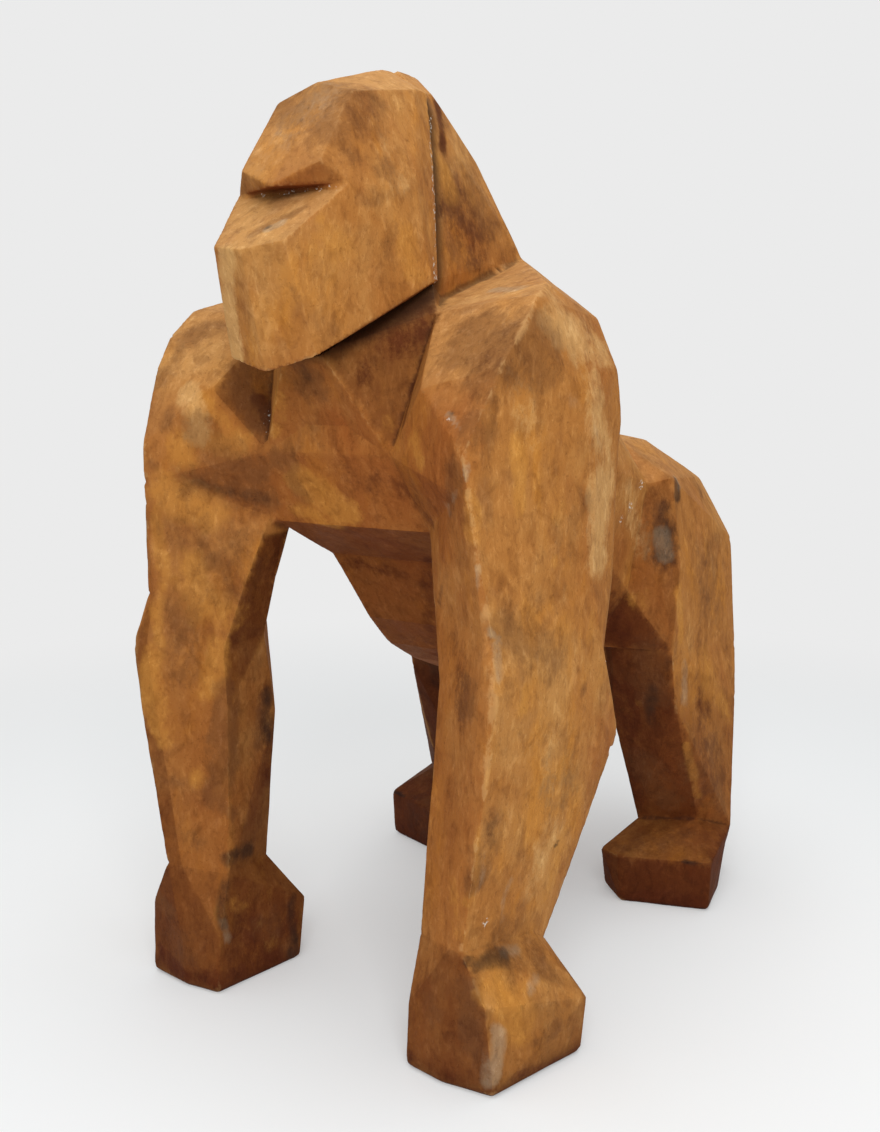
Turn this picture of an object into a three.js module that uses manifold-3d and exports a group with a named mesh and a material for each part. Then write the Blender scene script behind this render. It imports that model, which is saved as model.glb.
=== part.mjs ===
// Faceted gorilla garden sculpture: hollow fibre-clay castings bonded over a welded steel armature.
// Millimetres, +Z up. The animal faces -Y, its left side is at +X, and it stands on Z = 0.
import * as THREE from 'three';
import { ConvexGeometry } from 'three/addons/geometries/ConvexGeometry.js';
import { mergeVertices } from 'three/addons/utils/BufferGeometryUtils.js';
import Module from 'manifold-3d';

// Cast walls and the bonded seams between castings
const WALL = 10;
const GLUE_LINE = 0.3;
const BAND_WIDTH = 44;
const BAND_THICKNESS = 4;
const ARM_SEAM_HEIGHT = 286;
const ARM_SEAM_SLOPE = 0.35;
const LEG_SEAM_HEIGHT = 190;
const WAIST_SEAM_BACK = 232;

// Armature: round bar, and the axes that it follows
const ROD_RADIUS = 5;
const ROD_SIDES = 12;
const ROD_CLEARANCE = 0.3;
const CROSS_ROD_OVERHANG = 14;
const SHOULDER_ROD_BACK = 70;
const SHOULDER_ROD_HEIGHT = 398;
const HIP_ROD_BACK = 342;
const HIP_ROD_HEIGHT = 290;
const ARM_ROD_TOP_OUT = 110;
const ARM_ROD_FOOT = [104, 38, 22];
const LEG_ROD_TOP_OUT = 92;
const LEG_ROD_FOOT = [112, 352, 18];
const NECK_ROD_TOP = [0, 86, 591];

// Facet corners are [out from the middle plane, back from the knuckles, up from the floor].

// Skull, from the crown to the undercut of the brow
const CROWN_FRONT = [0, 21, 579];
const CROWN = [0, 84, 599];
const FOREHEAD_TOP = [28, 18, 570];
const BROW_PEAK = [29, -13, 527];
const BROW_MIDDLE = [0, -22, 515];
const EYE_CORNER = [41, -2, 516];
const TEMPLE = [50, 49, 518];
const TEMPLE_TOP = [30, 78, 582];

// Muzzle and jaw
const NOSE_RIDGE = [0, -47, 478];
const NOSE_CORNER = [26, -41, 482];
const CHIN = [0, -29, 412];
const JAW_CORNER = [32, -22, 421];
const JAW_BACK = [56, 57, 465];

// Back rim of the head, which is bedded on the neck
const RIM_CROWN = [0, 95, 600];
const RIM_TOP = [28, 92, 583];
const RIM_MIDDLE = [39, 83, 544];
const RIM_LOW = [53, 68, 467];
const RIM_STEP = 4;
const RIM_LAP = 24;
const HEAD_MIDDLE = [0, 40, 525];
const NECK_TENON = 0.35;

// Nape and throat
const NAPE_TOP = [0, 122, 602];
const NAPE_SHOULDER = [18, 114, 587];
const NAPE_MIDDLE = [28, 153, 549];
const NAPE_BASE = [50, 175, 489];
const NECK_ROOT_FRONT = [42, 84, 405];
const NECK_ROOT_BACK = [42, 150, 405];
const THROAT_TOP = [14, 3, 424];
const COLLAR = [15, 24, 381];
const COLLAR_NOTCH = [48, 25, 364];

// Chest and shoulder
const CHEST_EDGE = [61, 47, 317];
const CHEST_UNDER = [50, 92, 291];
const TRAPEZIUS = [62, 53, 448];
const BREAST_CORNER = [80, 10, 403];
const SHOULDER_TOP = [135, 29, 437];
const SHOULDER_ROLL = [132, 49, 455];
const SHOULDER_PEAK = [124, 75, 463];
const SHOULDER_CURVE = [131, 12, 415];
const SHOULDER_FRONT = [121, -11, 368];
const SHOULDER_FACE = [110, -5, 371];
const SHOULDER_SIDE = [150, 82, 397];
const SHOULDER_CREST = [140, 84, 437];
const SHOULDER_REAR_TOP = [134, 120, 445];
const SHOULDER_REAR = [147, 122, 414];
const SHOULDER_LOW = [147, 129, 384];
const SHOULDER_BLADE = [80, 160, 440];

// Back, flank and belly
const BACK_MIDDLE = [0, 178, 482];
const BACK_SIDE = [70, 200, 432];
const SADDLE_SIDE = [72, 284, 364];
const SADDLE_MIDDLE = [0, 284, 378];
const FLANK_FRONT = [104, 219, 346];
const FLANK_BACK = [103, 270, 333];
const FLANK_LOW = [93, 262, 254];
const RIB_SIDE = [98, 140, 345];
const RIB_LOW = [66, 132, 288];
const BELLY_FRONT = [40, 119, 243];
const BELLY_BREAK = [40, 143, 220];
const BELLY_LOW = [40, 174, 203];
const BELLY_BOTTOM = [42, 214, 187];
const BELLY_BACK = [70, 269, 207];

// Haunch
const LOIN = [0, 312, 377];
const HIP_TOP = [76, 326, 363];
const HIP_FRONT = [115, 288, 337];
const RUMP_TOP = [95, 394, 330];
const RUMP_SIDE = [123, 395, 282];
const RUMP_BACK = [62, 424, 285];
const THIGH_FRONT = [124, 288, 276];
const THIGH_UNDER = [105, 269, 234];
const WAIST_ROOT_TOP = [45, 244, 330];
const WAIST_ROOT_LOW = [45, 244, 240];

// Left arm sections, anticlockwise from above:
// front inner, front face, front ridge, side ridge, back outer, back inner, inner
const ARM_PIT = [
  [63, 43, 320], [112, -3, 346], [124, -9, 343], [150, 90, 350], [147, 125, 358], [126, 132, 345],
  [66, 66, 312],
];
const ARM_MIDDLE = [
  [75, 31, 277], [128, -1, 268], [134, 0, 267], [150, 88, 290], [147, 121, 287], [131, 124, 280],
  [73, 58, 276],
];
const ARM_ELBOW = [
  [86, 20, 232], [130, -7, 234], [140, -9, 235], [151, 100, 252], [147, 111, 244], [135, 116, 238],
  [79, 52, 238],
];
const ARM_POINT = [
  [83, 19, 190], [124, -5, 188], [135, -8, 190], [151, 106, 192], [150, 128, 188], [138, 124, 186],
  [80, 63, 181],
];
const ARM_WRIST = [
  [78, 11, 80], [108, -3, 84], [118, -6, 85], [129, 58, 76], [129, 73, 66], [108, 74, 68],
  [86, 57, 77],
];
const FIST_KNUCKLE = [
  [77, 0, 40], [104, -8, 30], [133, -5, 55], [161, 68, 38], [148, 88, 24], [84, 90, 36],
  [66, 74, 44],
];
const FIST_SOLE = [
  [77, -3, 0], [104, -7, 0], [138, -3, 0], [157, 68, 0], [142, 88, 0], [84, 88, 0],
  [66, 68, 0],
];

// Left leg sections, anticlockwise from above: inner, front inner, front ridge, outer, back outer, back inner
const LEG_THIGH = [
  [62, 287, 203], [75, 275, 212], [122, 281, 208], [127, 404, 193], [92, 424, 205], [56, 398, 206],
];
const LEG_KNEE = [
  [60, 330, 140], [66, 302, 142], [122, 290, 164], [133, 391, 150], [100, 408, 150], [62, 388, 145],
];
const LEG_ANKLE = [
  [79, 345, 55], [80, 323, 55], [126, 335, 60], [146, 356, 52], [130, 394, 52], [86, 396, 52],
];
const FOOT_TOE = [
  [67, 282, 40], [85, 274, 40], [151, 300, 40], [147, 343, 42], [124, 398, 42], [82, 400, 42],
];
const FOOT_SOLE = [
  [61, 303, 0], [84, 280, 0], [150, 301, 0], [141, 345, 0], [122, 400, 0], [80, 402, 0],
];
const SOLE_EASE = 3;
const ROOT_RISE = 30;
const CAP_STEEPNESS = 0.8;

// Finishes
const RUST = { color: 0xa8652a, roughness: 0.85, metalness: 0 };
const STEEL = { color: 0x4a4642, roughness: 0.6, metalness: 0.9 };
const FIBRE = { color: 0xd2ccbc, roughness: 0.9, metalness: 0 };

// Corners closer than this are one corner
const WELD = 0.01;

const wasm = await Module();
wasm.setup();

// A closed geometry as a solid that can be joined and cut
function solidOf(geometry) {
  const loose = geometry.index ? geometry.toNonIndexed() : geometry;
  const bare = new THREE.BufferGeometry().setAttribute('position', loose.getAttribute('position'));
  const merged = mergeVertices(bare, WELD);
  const vertProperties = merged.getAttribute('position').array;
  const triVerts = new Uint32Array(merged.index.array);
  return new wasm.Manifold(new wasm.Mesh({ numProp: 3, vertProperties, triVerts }));
}

function geometryOf(solid) {
  const mesh = solid.asOriginal().simplify(WELD).getMesh();
  const geometry = new THREE.BufferGeometry();
  geometry.setAttribute('position', new THREE.BufferAttribute(new Float32Array(mesh.vertProperties), 3));
  geometry.setIndex(new THREE.BufferAttribute(new Uint32Array(mesh.triVerts), 1));
  const faceted = geometry.toNonIndexed();
  faceted.computeVertexNormals();
  return faceted;
}

const join = (solids) => solids.reduce((whole, next) => whole.add(next));
const flip = (solid) => solid.mirror([1, 0, 0]);

// What is left of a solid above, below, behind or ahead of a plane, which may rise outwards by a slope
const drop = (height, slope) => height / Math.hypot(1, slope);
const above = (solid, height, slope = 0) => solid.trimByPlane([-slope, 0, 1], drop(height, slope));
const below = (solid, height, slope = 0) => solid.trimByPlane([slope, 0, -1], -drop(height, slope));
const behind = (solid, back) => solid.trimByPlane([0, 1, 0], back);
const ahead = (solid, back) => solid.trimByPlane([0, -1, 0], -back);

const mirrored = ([x, y, z]) => [-x, y, z];
const bothSides = (corners) => [...corners, ...corners.filter(([x]) => x > 0).map(mirrored)];
const hull = (corners) => new ConvexGeometry(corners.map((corner) => new THREE.Vector3(...corner)));

// A solid cut along the facets of a convex geometry, each first moved out by a distance
function trimmed(solid, geometry, out, wanted = () => true) {
  const points = geometry.getAttribute('position');
  for (let i = 0; i < points.count; i += 3) {
    const triangle = [0, 1, 2].map((k) => new THREE.Vector3().fromBufferAttribute(points, i + k));
    const facet = new THREE.Plane().setFromCoplanarPoints(...triangle);
    if (wanted(facet.normal)) {
      solid = solid.trimByPlane(facet.normal.clone().negate().toArray(), facet.constant - out);
    }
  }
  return solid;
}

// The convex mass of some corners, with every facet moved out by a distance, or in by a negative one
function mass(corners, out = 0) {
  const geometry = hull(corners);
  if (out === 0) {
    return solidOf(geometry);
  }
  geometry.computeBoundingBox();
  const size = geometry.boundingBox.getSize(new THREE.Vector3()).addScalar(4 * Math.abs(out));
  const { x, y, z } = geometry.boundingBox.getCenter(new THREE.Vector3());
  return trimmed(solidOf(new THREE.BoxGeometry(...size).translate(x, y, z)), geometry, out);
}

// A section drawn in by the same distance from each of its sides, seen from above
function drawnIn(ring, by) {
  return ring.map(([x, y, z], i) => {
    const [beforeX, beforeY] = ring.at(i - 1);
    const [afterX, afterY] = ring[(i + 1) % ring.length];
    const arriving = new THREE.Vector2(x - beforeX, y - beforeY).normalize();
    const leaving = new THREE.Vector2(afterX - x, afterY - y).normalize();
    const inward = new THREE.Vector2(-arriving.y - leaving.y, arriving.x + leaving.x).normalize();
    const reach = by / (inward.y * arriving.x - inward.x * arriving.y);
    return [x + inward.x * reach, y + inward.y * reach, z];
  });
}

const raised = (ring, by) => ring.map(([x, y, z]) => [x, y, z + by]);

// One stretch of a limb between two sections, or the room inside it: only the sides are moved in
function stretch(lower, upper, inset) {
  const geometry = hull([...lower, ...upper]);
  const isSide = (normal) => Math.abs(normal.z) < CAP_STEEPNESS;
  return inset === 0 ? solidOf(geometry) : trimmed(solidOf(geometry), geometry, -inset, isSide);
}

const limb = (rings, inset = 0) => join(rings.slice(1).map((ring, i) => stretch(rings[i], ring, inset)));

// A straight bar from one point to another
const touch = ROD_RADIUS + ROD_CLEARANCE;
function rod(from, to, radius = ROD_RADIUS) {
  const start = new THREE.Vector3(...from);
  const axis = new THREE.Vector3(...to).sub(start);
  const upright = new THREE.Vector3(0, 1, 0);
  const turn = new THREE.Quaternion().setFromUnitVectors(upright, axis.clone().normalize());
  const bar = new THREE.CylinderGeometry(radius, radius, axis.length(), ROD_SIDES);
  bar.applyQuaternion(turn);
  bar.translate(start.x + axis.x / 2, start.y + axis.y / 2, start.z + axis.z / 2);
  return solidOf(bar);
}

// The hole that a bar is bedded in, a clearance wider all round and a clearance deeper
function bore(tip, mouth) {
  const start = new THREE.Vector3(...tip);
  const deeper = start.clone().sub(new THREE.Vector3(...mouth)).setLength(ROD_CLEARANCE);
  return rod(start.add(deeper).toArray(), mouth, touch);
}

// Masses of the body
const stepped = ([x, y, z]) => [Math.max(x - RIM_STEP, 0), y, z];
const towardHead = (corner) => corner.map((value, k) => value + NECK_TENON * (HEAD_MIDDLE[k] - value));
const SKULL_FRONT = [
  CROWN_FRONT, CROWN, FOREHEAD_TOP, BROW_PEAK, BROW_MIDDLE, EYE_CORNER, TEMPLE, TEMPLE_TOP,
];
const SKULL_RIM = [RIM_CROWN, RIM_TOP, RIM_MIDDLE];
const MUZZLE_FRONT = [NOSE_RIDGE, NOSE_CORNER, CHIN, JAW_CORNER, JAW_BACK, EYE_CORNER, TEMPLE];
const MUZZLE_RIM = [RIM_MIDDLE, RIM_LOW];
const HOOD_BACK = [NAPE_TOP, NAPE_SHOULDER, NAPE_MIDDLE, NAPE_BASE, NECK_ROOT_FRONT, NECK_ROOT_BACK];
const HOOD_RIM = [RIM_CROWN, RIM_TOP, RIM_MIDDLE, RIM_LOW];
const THROAT = [COLLAR, THROAT_TOP, NECK_ROOT_FRONT];
const NECK_SIDE = [COLLAR_NOTCH, COLLAR, THROAT_TOP, TRAPEZIUS, stepped(RIM_LOW), NECK_ROOT_BACK];
const CHEST = [
  COLLAR, COLLAR_NOTCH, CHEST_EDGE, CHEST_UNDER, TRAPEZIUS, NAPE_BASE, SHOULDER_BLADE, RIB_SIDE, RIB_LOW,
];
const SHOULDER = [
  TRAPEZIUS, BREAST_CORNER, COLLAR_NOTCH, SHOULDER_TOP, SHOULDER_ROLL, SHOULDER_PEAK, SHOULDER_CURVE,
  SHOULDER_FRONT, SHOULDER_FACE, SHOULDER_SIDE, SHOULDER_CREST, SHOULDER_REAR_TOP, SHOULDER_REAR,
  SHOULDER_LOW, SHOULDER_BLADE, NAPE_BASE, NECK_ROOT_FRONT, NECK_ROOT_BACK, ...ARM_PIT,
];
const RIBS = [
  BACK_MIDDLE, BACK_SIDE, NAPE_BASE, SHOULDER_BLADE, TRAPEZIUS, SADDLE_SIDE, SADDLE_MIDDLE, FLANK_FRONT,
  FLANK_BACK, FLANK_LOW, RIB_SIDE, RIB_LOW, CHEST_UNDER, BELLY_FRONT, BELLY_BREAK, BELLY_LOW, BELLY_BOTTOM,
  BELLY_BACK,
];
const HAUNCH = [
  SADDLE_SIDE, SADDLE_MIDDLE, LOIN, HIP_TOP, HIP_FRONT, RUMP_TOP, RUMP_SIDE, RUMP_BACK, THIGH_FRONT,
  THIGH_UNDER, FLANK_BACK, FLANK_LOW, BELLY_BACK, WAIST_ROOT_TOP, WAIST_ROOT_LOW, ...LEG_THIGH,
];

// Limbs: the edge of the sole is eased, and the room inside opens into the trunk
const easedSole = (sole) => [raised(sole, SOLE_EASE), drawnIn(sole, SOLE_EASE)];
const ARM_TUBE = [ARM_PIT, ARM_MIDDLE, ARM_ELBOW, ARM_POINT, ARM_WRIST];
const LEG_TUBE = [LEG_THIGH, LEG_KNEE, LEG_ANKLE];
const armSolid = limb([...ARM_TUBE, FIST_KNUCKLE, ...easedSole(FIST_SOLE)]);
const legSolid = limb([...LEG_TUBE, FOOT_TOE, ...easedSole(FOOT_SOLE)]);
const limbRoom = ([top, ...others], inset) => limb([raised(top, ROOT_RISE), ...others], inset);

// The head, and the room inside it, which is open at the back rim
const lapped = (rim) => rim.map(([x, y, z]) => [x, y + RIM_LAP, z]);
const headSolid = (out = 0) => join([
  mass(bothSides([...SKULL_FRONT, ...SKULL_RIM]), out),
  mass(bothSides([...MUZZLE_FRONT, ...MUZZLE_RIM]), out),
]);
const headRoom = (inset) => join([
  mass(bothSides([...SKULL_FRONT, ...lapped(SKULL_RIM)]), -inset),
  mass(bothSides([...MUZZLE_FRONT, ...lapped(MUZZLE_RIM)]), -inset),
]);

// The neck reaches forward into the head before the head's bed is cut from it
const HOOD = [...HOOD_BACK, ...HOOD_RIM.map(stepped), ...HOOD_RIM.map(towardHead)];
const hood = (out) => mass(bothSides(HOOD), out);
const ribs = (out) => mass(bothSides(RIBS), out);
const paired = (corners, out) => [mass(corners, out), flip(mass(corners, out))];
const trunkSolid = join([
  hood(0), mass(bothSides(THROAT)), mass(bothSides(CHEST)), ribs(0), mass(bothSides(HAUNCH)),
  ...paired(NECK_SIDE), ...paired(SHOULDER),
]);
const trunkRoom = join([
  hood(-WALL), mass(bothSides(CHEST), -WALL), ribs(-WALL), mass(bothSides(HAUNCH), -WALL),
  ...paired(SHOULDER, -WALL),
]);

const part = new THREE.Group();

function addPiece(name, solid, finish) {
  const mesh = new THREE.Mesh(geometryOf(solid), new THREE.MeshStandardMaterial(finish));
  mesh.name = name;
  part.add(mesh);
}

function addPair(name, leftSolid, finish) {
  addPiece(`left_${name}`, leftSolid, finish);
  addPiece(`right_${name}`, flip(leftSolid), finish);
}

// Armature: two cross bars, the spine and neck between them, and a bar down each limb
const armRodTop = [ARM_ROD_TOP_OUT, SHOULDER_ROD_BACK, SHOULDER_ROD_HEIGHT];
const legRodTop = [LEG_ROD_TOP_OUT, HIP_ROD_BACK, HIP_ROD_HEIGHT];
const neckRodFoot = [0, SHOULDER_ROD_BACK, SHOULDER_ROD_HEIGHT];
const spineRodEnd = [0, HIP_ROD_BACK, HIP_ROD_HEIGHT];
const widened = ([x, y, z]) => [x + CROSS_ROD_OVERHANG, y, z];
const crossRod = (limbTop) => rod(mirrored(widened(limbTop)), widened(limbTop));
const armRod = below(rod(ARM_ROD_FOOT, armRodTop), SHOULDER_ROD_HEIGHT - touch);
const legRod = below(rod(LEG_ROD_FOOT, legRodTop), HIP_ROD_HEIGHT - touch);
const spineLine = rod(neckRodFoot, spineRodEnd);
const spineRod = ahead(behind(spineLine, SHOULDER_ROD_BACK + touch), HIP_ROD_BACK - touch);
const neckRod = above(rod(NECK_ROD_TOP, neckRodFoot), SHOULDER_ROD_HEIGHT + touch);
const sideBores = [
  bore(widened(armRodTop), neckRodFoot), bore(widened(legRodTop), spineRodEnd),
  bore(ARM_ROD_FOOT, armRodTop), bore(LEG_ROD_FOOT, legRodTop),
];
const bores = join([
  ...sideBores, ...sideBores.map(flip), bore(NECK_ROD_TOP, neckRodFoot), bore(spineRodEnd, neckRodFoot),
]);

// Castings, parted at the neck, waist, arms and legs, each cut clear of the next by the glue line
const armRoom = limbRoom(ARM_TUBE, WALL);
const legRoom = limbRoom(LEG_TUBE, WALL);
const armShell = armSolid.subtract(armRoom).subtract(bores);
const legShell = legSolid.subtract(legRoom).subtract(bores);
const armKerf = ARM_SEAM_HEIGHT + GLUE_LINE;
const legKerf = LEG_SEAM_HEIGHT + GLUE_LINE;
const limbTops = [above(armSolid, armKerf, ARM_SEAM_SLOPE), above(legSolid, legKerf)];
const limbEnds = [below(armSolid, armKerf, ARM_SEAM_SLOPE), below(legSolid, legKerf)];
const trunkShell = join([trunkSolid, ...limbTops, ...limbTops.map(flip)])
  .subtract(join([trunkRoom, armRoom, legRoom, flip(armRoom), flip(legRoom)]))
  .subtract(join([...limbEnds, ...limbEnds.map(flip), headSolid(GLUE_LINE), bores]));
addPiece('head_casting', headSolid().subtract(headRoom(WALL)).subtract(bores), RUST);
addPiece('chest_casting', ahead(trunkShell, WAIST_SEAM_BACK), RUST);
addPiece('haunch_casting', behind(trunkShell, WAIST_SEAM_BACK + GLUE_LINE), RUST);
addPair('arm_casting', below(armShell, ARM_SEAM_HEIGHT, ARM_SEAM_SLOPE), RUST);
addPair('leg_casting', below(legShell, LEG_SEAM_HEIGHT), RUST);

addPiece('shoulder_rod', crossRod(armRodTop), STEEL);
addPiece('hip_rod', crossRod(legRodTop), STEEL);
addPiece('spine_rod', spineRod, STEEL);
addPiece('neck_rod', neckRod, STEEL);
addPair('arm_rod', armRod, STEEL);
addPair('leg_rod', legRod, STEEL);

// Bonding bands, laid on the inside of the walls across each seam
const lining = WALL + GLUE_LINE;
const liner = lining + BAND_THICKNESS;
const half = BAND_WIDTH / 2;
const slice = (solid, height, slope) => above(below(solid, height + half, slope), height - half, slope);
const waistBand = ribs(-lining).subtract(ribs(-liner));
const armBand = limbRoom(ARM_TUBE, lining).subtract(limbRoom(ARM_TUBE, liner));
const legBand = limbRoom(LEG_TUBE, lining).subtract(limbRoom(LEG_TUBE, liner));
const waistSlice = behind(ahead(waistBand, WAIST_SEAM_BACK + half), WAIST_SEAM_BACK - half);
addPiece('waist_band', waistSlice, FIBRE);
addPair('arm_band', slice(armBand, ARM_SEAM_HEIGHT, ARM_SEAM_SLOPE), FIBRE);
addPair('leg_band', slice(legBand, LEG_SEAM_HEIGHT, 0), FIBRE);

// The origin is under the middle of the figure
const reach = new THREE.Box3().setFromObject(part);
part.position.y = -(reach.min.y + reach.max.y) / 2;

export default part;
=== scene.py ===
# %% [markdown]
# # A faceted gorilla garden sculpture
# The real figure is cast in sections of pale fibre clay. They are bonded over a steel armature, filled at
# the seams, rubbed down by hand and painted to look like rusted iron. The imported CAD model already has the
# right facets in the right places, so it is loaded first, as a frame that is never moved. Everything below
# works in metres in that frame: the animal faces -Y, its left side is at +X, and it stands on Z = 0.

# %% Load the frame
import math

import bmesh
import bpy
import numpy as np
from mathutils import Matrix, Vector, noise
from mathutils.bvhtree import BVHTree
from mathutils.kdtree import KDTree


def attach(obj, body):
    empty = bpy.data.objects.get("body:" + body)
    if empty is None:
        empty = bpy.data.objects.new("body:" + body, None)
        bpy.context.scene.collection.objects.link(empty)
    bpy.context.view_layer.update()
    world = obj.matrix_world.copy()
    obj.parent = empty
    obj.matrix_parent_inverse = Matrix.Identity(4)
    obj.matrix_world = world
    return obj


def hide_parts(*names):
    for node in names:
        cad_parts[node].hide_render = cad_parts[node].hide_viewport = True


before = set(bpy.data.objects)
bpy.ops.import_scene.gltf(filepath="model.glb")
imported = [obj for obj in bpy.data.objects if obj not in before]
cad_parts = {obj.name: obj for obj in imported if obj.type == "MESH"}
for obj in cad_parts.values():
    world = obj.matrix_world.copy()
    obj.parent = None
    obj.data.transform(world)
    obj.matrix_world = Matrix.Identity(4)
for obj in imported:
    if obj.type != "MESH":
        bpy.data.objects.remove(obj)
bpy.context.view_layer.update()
MM = 0.001

# %% [markdown]
# ## The camera
# The figure was photographed from its front left, a little above chest height. A camera could be aimed with
# a tracking constraint, but plain angles are easier to read. Its place and lens were worked out once from
# corners that mirror each other, such as the two fists and the two feet. A tall picture takes the sensor's
# width along its height, so nothing has to be shifted.

# %% Place the camera
CAMERA_PLACE = (0.46028, -0.73164, 0.40526)
CAMERA_LOOKS_DOWN = 8.648
CAMERA_TURN = 33.592
LENS = 37.845
FIGURE_MIDDLE = Vector((0, 0, 0.3))

camera_data = bpy.data.cameras.new("photo_camera")
camera_data.lens = LENS
camera = bpy.data.objects.new("photo_camera", camera_data)
camera.location = CAMERA_PLACE
camera.rotation_euler = (math.radians(90 - CAMERA_LOOKS_DOWN), 0, math.radians(CAMERA_TURN))
bpy.context.collection.objects.link(camera)
bpy.context.scene.camera = camera
print("camera", round((camera.location - FIGURE_MIDDLE).length, 2), "m from the figure's middle")

# %% [markdown]
# ## The castings as one skin
# On the real figure the trunk and the limbs are glued, filled and painted as one, so no seam shows. Each
# casting could be rounded by itself, but that would leave a groove at every seam. Here copies of the
# castings go into one mesh instead. The glue lines are 0.3 mm wide, so the rims on one side of each are
# moved across it, and the castings overlap. Later the skin is parted again along the same planes.

# %% Gather the trunk and the limbs
WELD = 0.01 * MM
OVERLAP = 0.6 * MM
SEAM_REACH = 0.05 * MM
SEAM_HEIGHT_ARM = 286 * MM
SEAM_SLOPE_ARM = 0.35
SEAM_HEIGHT_LEG = 190 * MM
SEAM_BACK_WAIST = 43.5 * MM
SKIN_NODES = ["chest_casting", "haunch_casting", "left_arm_casting", "right_arm_casting",
              "left_leg_casting", "right_leg_casting"]


def beyond_arm_seam(place):
    """How far a point is above the sloping seam at the top of an arm."""
    return place.z - SEAM_HEIGHT_ARM - SEAM_SLOPE_ARM * abs(place.x)


def beyond_leg_seam(place):
    """How far a point is above the level seam at the top of a leg."""
    return place.z - SEAM_HEIGHT_LEG


def beyond_waist_seam(place):
    """How far a point is behind the upright seam at the waist."""
    return place.y - SEAM_BACK_WAIST


SEAM_OF = {"arm": (beyond_arm_seam, (0, 0, OVERLAP)), "leg": (beyond_leg_seam, (0, 0, OVERLAP)),
           "chest": (beyond_waist_seam, (0, OVERLAP, 0))}
skin = bmesh.new()
for node in SKIN_NODES:
    first_new = len(skin.verts)
    skin.from_mesh(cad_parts[node].data)
    skin.verts.ensure_lookup_table()
    for word, (beyond, across) in SEAM_OF.items():
        if word in node:
            rim = [v for v in skin.verts[first_new:] if abs(beyond(v.co)) < SEAM_REACH]
            bmesh.ops.translate(skin, verts=rim, vec=across)
bmesh.ops.remove_doubles(skin, verts=skin.verts, dist=WELD)
print("skin:", len(skin.verts), "corners in", len(skin.faces), "CAD triangles")

# %% [markdown]
# ## A tight joint round the head
# The head is bedded in the neck, and on the real figure no gap shows there, only a dark crease. Softening
# would round off the rim of the bed and open a slit. So the corners of the bed are first pushed a little
# way into the head, against the direction that the head's surface faces, and the rounding then happens out
# of sight. At the crown they only go forward, so that the nape stays flush.

# %% Push the neck's bed into the head
BED_REACH = 0.5 * MM
BED_PUSH = 3.5 * MM

head_shape = bmesh.new()
head_shape.from_mesh(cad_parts["head_casting"].data)
bmesh.ops.remove_doubles(head_shape, verts=head_shape.verts, dist=WELD)
head_tree = BVHTree.FromBMesh(head_shape)
bedded = []
for vert in skin.verts:
    _, outward, _, distance = head_tree.find_nearest(vert.co)
    if distance < BED_REACH:
        bedded.append((vert, outward))
for vert, outward in bedded:
    outward.z = min(outward.z, 0)
    push = -outward.normalized() * BED_PUSH
    bmesh.ops.translate(skin, verts=[vert], vec=push)
print("bed of the head:", len(bedded), "corners pushed in")

# %% [markdown]
# ## Rubbed-down edges and hand-worked facets
# The edges of the real figure are rounded over a few millimetres, and its facets are a little uneven,
# because they were rubbed down by hand. A bevel needs clean edges, and a faceted CAD mesh has long thin
# triangles that break it. A voxel remesh gives an even grid instead, but it leaves ragged edges. So each
# point of the grid then goes to the nearest facet, or onto the edge itself if that is close, and only then
# is everything smoothed a little. Two cloud textures push the surface in and out by fractions of a
# millimetre. The head is softened by itself, because the joint between its rim and the nape is a crease
# that shows.

# %% Find the facets and the edges between them
FACET_ANGLE = math.radians(6)


def sharp_lines(shape, step):
    """Points along every edge at which two facets meet at an angle, ready to be searched."""
    places = []
    for edge in shape.edges:
        if edge.is_manifold and edge.calc_face_angle() > FACET_ANGLE:
            start, end = (vert.co for vert in edge.verts)
            count = math.ceil(edge.calc_length() / step)
            places += [start.lerp(end, i / count) for i in range(count + 1)]
    lines = KDTree(len(places))
    for i, place in enumerate(places):
        lines.insert(place, i)
    lines.balance()
    print(len(places), "points along the edges")
    return lines


def in_one_facet(edge):
    """Whether the two faces at an edge are parts of one flat facet."""
    return edge.is_manifold and edge.calc_face_angle() < FACET_ANGLE


def connected(shape, joins):
    """A number for each face, which it shares with all the faces that it reaches across joining edges."""
    shape.faces.index_update()
    numbers = {}
    for first in shape.faces:
        waiting = [] if first.index in numbers else [first]
        numbers.setdefault(first.index, first.index)
        while waiting:
            for edge in filter(joins, waiting.pop().edges):
                fresh = [face for face in edge.link_faces if face.index not in numbers]
                numbers.update({face.index: first.index for face in fresh})
                waiting += fresh
    return numbers


# %% Soften the skin and the head
SKIN_GRID = 2.7 * MM
SKIN_PASSES = 1
HEAD_GRID = 1.6 * MM
HEAD_PASSES = 2
GRID_PASSES = 2
# Shares of the grid's spacing: how far a point is drawn to an edge, and how densely the edges are dotted.
SNAP_SHARE = 1.0
DOT_SHARE = 0.25
# How wide and how deep the clouds of unevenness are.
UNEVENNESS = {"broad": (55 * MM, 1.2 * MM), "fine": (14 * MM, 0.3 * MM)}


def smoothed(draft, passes):
    """Adds a modifier that draws each point towards its neighbours."""
    rubbed = draft.modifiers.new("rubbed edges", "SMOOTH")
    rubbed.iterations = passes


def as_mesh(draft):
    """A new mesh with the object's modifiers applied."""
    return bpy.data.meshes.new_from_object(draft.evaluated_get(bpy.context.evaluated_depsgraph_get()))


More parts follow.
